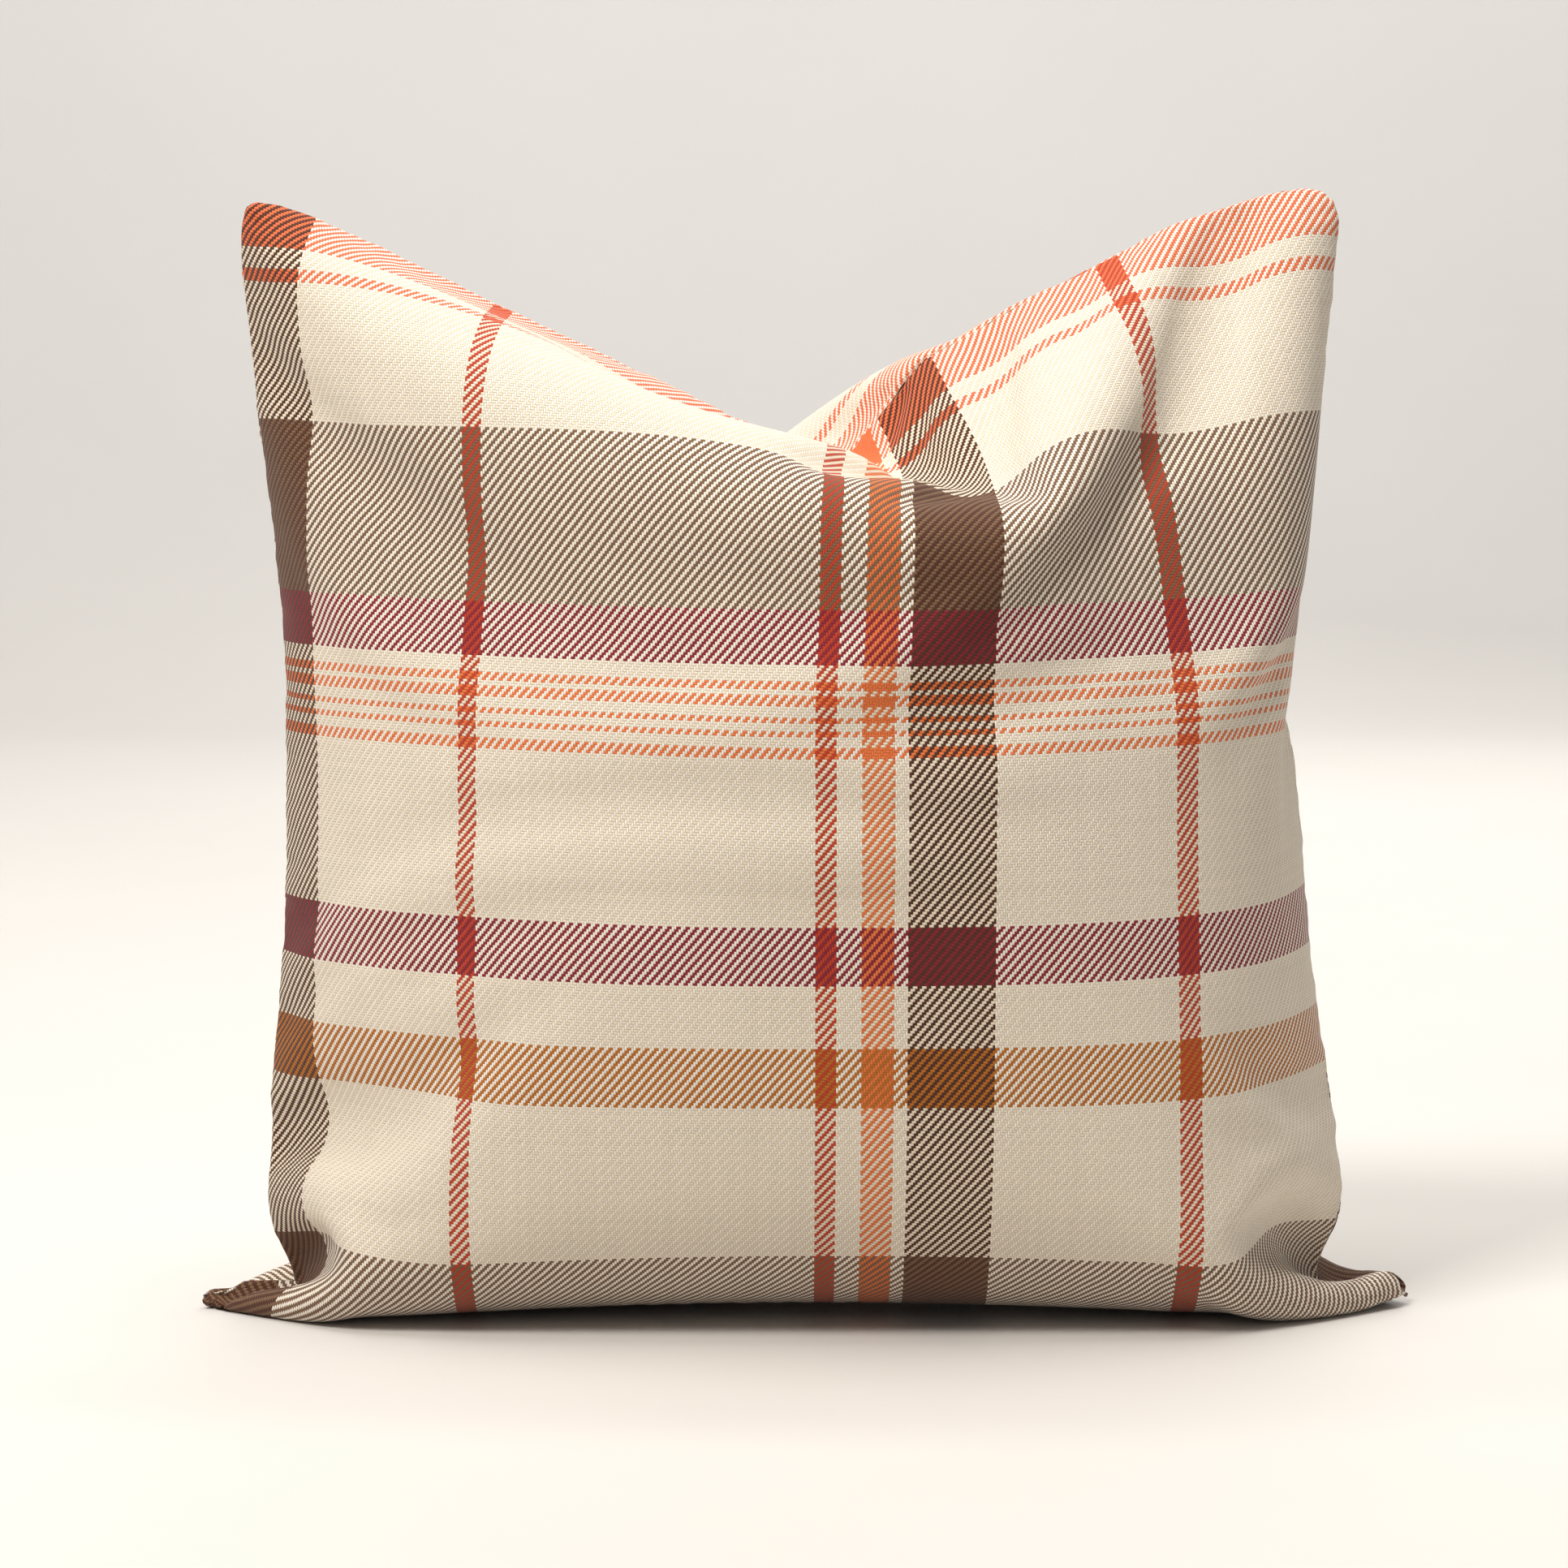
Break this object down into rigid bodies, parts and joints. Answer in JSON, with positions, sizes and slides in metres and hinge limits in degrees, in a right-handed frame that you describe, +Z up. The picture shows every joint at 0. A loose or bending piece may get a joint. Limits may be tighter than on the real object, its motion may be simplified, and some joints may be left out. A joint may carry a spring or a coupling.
{
  "type": "throw pillow",
  "caption": "Square knife-edge throw pillow in plaid twill, standing on its edge with a dent in its top, over a fibre-filled insert, with a concealed zipper.",
  "frame": {"origin": "on the surface the pillow stands on, under the middle of the object", "axes": "+Z up, -Y is the face of the pillow, +X to the right of the face"},
  "size_m": [0.492, 0.2174, 0.4583],
  "materials": {
    "cover_cloth": "thick cotton 2/2 twill plaid, matte",
    "insert_cloth": "white cotton percale, matte",
    "fibre_fill": "polyester fibre",
    "thread": "spun polyester thread",
    "label_tape": "blank satin ribbon",
    "zipper_tape": "woven polyester tape",
    "zipper_coil": "nylon coil",
    "zipper_metal": "satin nickel"
  },
  "bodies": {
    "pillow": {"cover_front_panel": "cover_cloth", "cover_back_panel": "cover_cloth", "seam_thread": "thread", "insert_front_panel": "insert_cloth", "insert_back_panel": "insert_cloth", "insert_seam_thread": "thread", "insert_fill": "fibre_fill", "care_label": "label_tape", "insert_label": "label_tape", "zipper_tape_front": "zipper_tape", "zipper_tape_back": "zipper_tape", "zipper_coil_front": "zipper_coil", "zipper_coil_back": "zipper_coil", "zipper_top_stops": "zipper_metal", "zipper_bottom_stop": "zipper_metal"},
    "slider": {"zipper_slider": "zipper_metal"},
    "pull_tab": {"zipper_pull_tab": "zipper_metal"}
  },
  "joints": [
    {"name": "slider_travel", "type": "slide", "parent": "pillow", "child": "slider", "axis": [-1, 0, 0], "range_m": [0, 0.378]},
    {"name": "pull_tab_hinge", "type": "hinge", "parent": "slider", "child": "pull_tab", "pos_m": [0.1875, 0, 0.0056], "axis": [0, 1, 0], "range_deg": [0, 180]}
  ]
}
